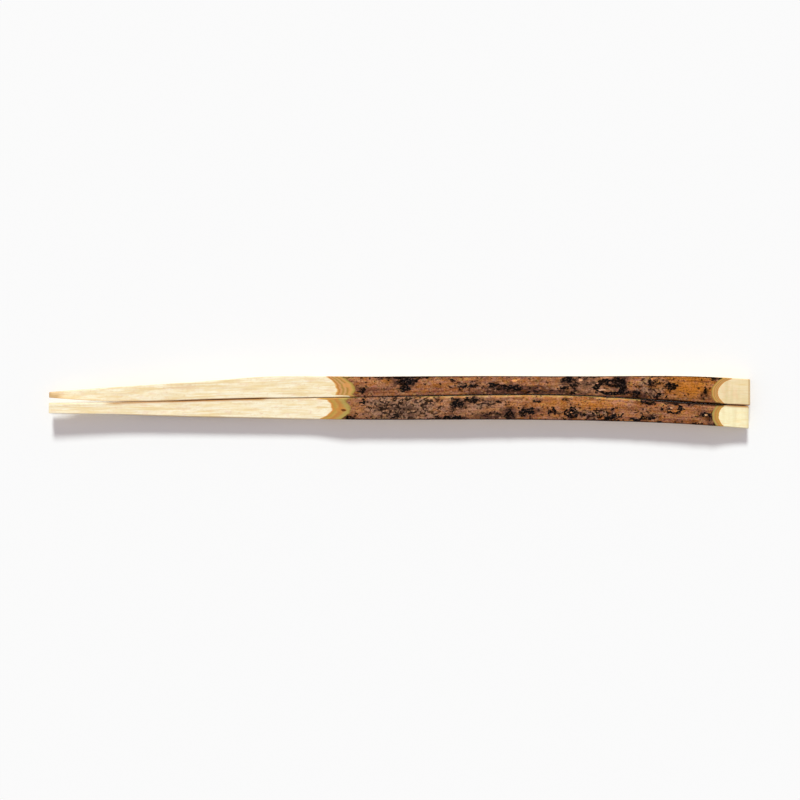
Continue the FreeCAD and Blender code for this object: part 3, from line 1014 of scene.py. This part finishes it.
frontStick = dict(
    common, side=-1, seed=47, halfWidth=3.8,
    widths=[3.2, 3.55, 5.25, 6.25, 7.4, 8.15, 8.2, 7.0, 7.35], crownOffset=0.1, buttCut=12.9,
    bend=(2.6, 1.4), barkStart=103.7, topNeck=5.2, topTip=6.2, underNeck=2.3, underTip=3.4,
    setBack=0.3,
    innerRound=0.62,
    tipStain=0.12, endTint=0.35, outerTanAndShade=0.35,
    thinOutside=-0.12,
    closer=[0.4, 0.42, 0.42, 0.27, 0.12, 0.0, 0.0, 0.08, 0.36],
    edgeDepth=[(84, 97, -0.35), (108, 126, -0.4), (203, 227, -0.4)],
    lean=[(30, 92, 0.36)],
    # painted shade along the blade's outer foot; painted warm shade and painted dark shade along
    # the inner edges
    outerFootShade=[(30, 80, 0.5)],
    gapWarmShadeRun=[(20, 42, 0.8), (42, 74, 1.0), (74, 92, 0.5), (230, 241, 0.9)],
    gapShadeAndCrustRun=[(204, 231, 1.0)],
    bareEdge=[(113, 128, 0.45), (126, 180, 1.0), (186, 203, 1.0)],
    crust=[
        (103.0, -0.85, 3.6, 1.3, 1.1), (107.7, 0.65, 3.2, 1.5, 0.75), (118.6, -0.7, 3.4, 1.4, 0.9),
        (133.0, 0.85, 1.8, 1.1, 1.0), (139.6, 0.3, 3.4, 2.6, 1.6), (144.8, 0.6, 4.6, 1.6, 1.0),
        (137.0, -0.9, 12.0, 1.1, 1.05), (145.2, 0.65, 2.8, 1.7, 0.9), (149.0, 0.45, 1.8, 1.2, 0.8),
        (154.0, 0.45, 2.8, 1.0, 0.7), (157.6, -0.5, 3.2, 2.8, 1.4), (162.0, -0.4, 1.8, 2.6, 1.3),
        (164.9, -0.35, 3.8, 2.4, 1.1), (166.5, 0.5, 2.2, 0.9, 0.9), (150.7, -0.55, 3.4, 1.1, 0.7),
        (172.8, -0.35, 4.2, 2.0, 0.85), (176.3, 0.6, 2.0, 1.1, 0.8),
        (178.5, -0.45, 3.6, 2.8, 0.85), (182.6, -0.55, 2.2, 1.0, 0.75),
        (187.5, -0.5, 3.2, 1.8, 0.75), (193.0, -0.3, 3.4, 2.8, 0.75),
        (192.0, -0.97, 10.0, 0.6, 1.0), (201.0, -0.75, 3.2, 1.2, 1.0),
        (205.5, -0.6, 4.6, 1.5, 0.85), (204.9, 0.75, 4.6, 1.3, 0.85), (212.4, 0.5, 4.0, 1.6, 0.7),
        (218.5, 0.9, 6.5, 0.9, 0.8), (208.5, -0.95, 2.0, 0.8, 1.0), (220.8, -0.9, 1.2, 0.8, 0.9),
        (224.6, -0.05, 4.0, 3.2, 0.72), (227.7, -0.9, 2.8, 0.8, 1.1),
    ],
    loops=[(179.0, -0.35, 4.2, 3.0, 0.4, 0.9), (194.0, -0.3, 4.0, 3.2, 0.4, 0.8),
           (213.0, 0.4, 6.4, 3.2, 0.45, 0.9)],
    glow=[(158.5, 0.1, 6, 2.2, 0.55), (173, 0.35, 13, 3.2, 0.55), (187, 0.35, 16, 3.4, 0.65),
          (150, -0.2, 7, 3, 0.4), (216, 0.1, 10, 3, 0.45), (105.5, 0, 5, 4, 0.45)],
    redLines=[(144, 158, -0.75, 0.3, 0.7), (196, 222, -0.65, 0.35, 0.6),
              (165, 200, 0.25, 0.25, 0.4)],
    woodLines=[(48, 60, -0.2, 0.3, 0.3), (70, 84, 0.1, 0.3, 0.25)],
    eyes=[(100.0, -0.1, 3.6, 1.6, 1.1)],
    red=[(150, -0.7, 14, 2.0, 0.6), (132, 0.5, 12, 3.0, 0.5), (214, -0.7, 22, 2.2, 0.6)],
    woodPatch=[(46, 0.1, 13, 2.6, 0.7)],
    haze=[(120, 0.0, 24, 6.0, 0.6), (152, -0.7, 18, 2.4, 0.9), (148, 0.35, 8, 1.6, 0.6),
          (190, -0.7, 22, 2.0, 0.5), (203, 0.75, 7, 1.8, 0.6), (224.8, -0.1, 4.5, 3.6, 0.9),
          (213, -0.7, 10, 1.4, 0.4), (186, 0.9, 5, 0.9, 0.9)],
    mottle=[(121, 0.0, 24, 9.0, 1.15), (148, 0.2, 14, 4.0, 0.6), (186, -0.5, 20, 4.0, 0.8),
            (205, -0.1, 12, 5.0, 0.6)],
    bare=[],
    grey=[(119, 0.0, 30, 10, 0.9), (146, 0.1, 30, 9, 0.75)],
    dots=[(101.0, -0.15, 1.7, 1.0, 1.1)],
    spots=[(224.5, -0.02, 0.8, 0.6, 1.0), (212.6, 0.45, 0.8, 0.6, 0.85),
           (178.6, -0.35, 0.8, 0.5, 0.8)],
    knots=[(178.5, -0.45, 1.5, 0.16), (193.0, -0.3, 1.6, 0.14)],
    bandStops=[(0.0, "7a4e30"), (0.05, "9c8040"), (0.12, "b29a54"), (0.22, "b89a58"),
               (0.3, "c08a48"), (0.4, "be8044"), (0.48, "c99a50"), (0.56, "b9954a"),
               (0.64, "cf8842"), (0.69, "eab268")],
    bandCoats=[(0, 0, (1.3, 0.6), 0.5, 0.7, 0.3, "8f8a4a"),
               ("eyes", 1, (1.3, 0.6), 0.9, 1.2, 0.7, "cc8a44"),
               ("dots", 1, None, 0.3, 0.8, 0.9, "5c2a14")],
    woodCoats=woodCoats([(0.3, "ffe6ac"), (0.5, "fff8ca"), (0.7, "fff0ba")], 0.25),
)

sticks = (("twigBack", "chopstick_back", backStick), ("twigFront", "chopstick_front", frontStick))
for name, node, settings in sticks:
    piece = makeStick(name, node, settings)
    piece.data.materials.append(barkOnWood(name + "BarkOnWood", settings))
    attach(piece, "root")
    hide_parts(node)
print("sticks made")

# table and light, in metres and degrees; the two lamp colours are linear values
stage = {
    "size": 3.0,
    "tableColour": "fafafa",
    "tableRoughness": 0.9,
    "sunStrength": 3.05,
    "sunColour": (0.928, 0.993, 0.967),
    "sunAngle": 11.0,              # how wide it looks, which softens the shadow's edge
    "sunHeight": 35.0,
    "sunTurn": 3.5,
    "skyColour": (0.49, 0.453, 0.468, 1),
}

# table: matt white card, lit to white by the plain lamps and keeping the shadow
half = stage["size"] / 2
corners = [(-half, -half, 0), (half, -half, 0), (half, half, 0), (-half, half, 0)]
tableMesh = bpy.data.meshes.new("table")
tableMesh.from_pydata(corners, [], [(0, 1, 2, 3)])
table = bpy.data.objects.new("table", tableMesh)
bpy.context.scene.collection.objects.link(table)
card = bpy.data.materials.new("whiteCard")
card.use_nodes = True
card.node_tree.nodes.clear()
cardShader = add(card.node_tree, "ShaderNodeBsdfPrincipled", {
    "Base Color": stage["tableColour"], "Roughness": stage["tableRoughness"],
    "Specular IOR Level": 0.0})[0]
add(card.node_tree, "ShaderNodeOutputMaterial", {0: cardShader})
tableMesh.materials.append(card)

sun = bpy.data.lights.new("sun", "SUN")
sun.energy = stage["sunStrength"]
sun.angle = math.radians(stage["sunAngle"])
sun.color = stage["sunColour"]
sunLamp = bpy.data.objects.new("sun", sun)
# the lamp shines from the back of the pair, a little from the tips, at the given height
sunLamp.rotation_euler = (-math.radians(90 - stage["sunHeight"]), 0, math.radians(stage["sunTurn"]))
bpy.context.scene.collection.objects.link(sunLamp)

# soft sky for the light, plain white for what the camera and the reflections see
world = bpy.data.worlds.new("softSky")
world.use_nodes = True
bpy.context.scene.world = world
tree = world.node_tree
tree.nodes.clear()
path = add(tree, "ShaderNodeLightPath")
seen = path["Is Camera Ray"]
for other in ("Is Glossy Ray", "Is Transmission Ray"):
    seen = add(tree, "ShaderNodeMath", {0: seen, 1: path[other]}, operation="MAXIMUM")[0]
sky = add(tree, "ShaderNodeBackground", {"Color": stage["skyColour"], "Strength": 1.0})[0]
white = add(tree, "ShaderNodeBackground", {"Color": "ffffff", "Strength": 1.0})[0]
pick = add(tree, "ShaderNodeMixShader", {0: seen, 1: sky, 2: white})[0]
add(tree, "ShaderNodeOutputWorld", {0: pick})
print("table and light set")

# camera: straight down, as wide as the pair plus the margin round it; in metres
view = {
    "distance": 0.65,              # above the height at which the view is that wide
    "width": 0.2734,
    "height": 0.005,
    "centre": (0.00015, 0.00076),
    "farthest": 20,
    "sensor": 36,                  # in millimetres
}
camera = bpy.data.cameras.new("camera")
camera.sensor_width = view["sensor"]
camera.lens = camera.sensor_width * view["distance"] / view["width"]
camera.clip_end = view["farthest"]
cameraObject = bpy.data.objects.new("camera", camera)
cameraObject.location = (*view["centre"], view["distance"] + view["height"])
bpy.context.scene.collection.objects.link(cameraObject)
bpy.context.scene.camera = cameraObject
bpy.context.scene.view_settings.view_transform = "Standard"
print("camera set")

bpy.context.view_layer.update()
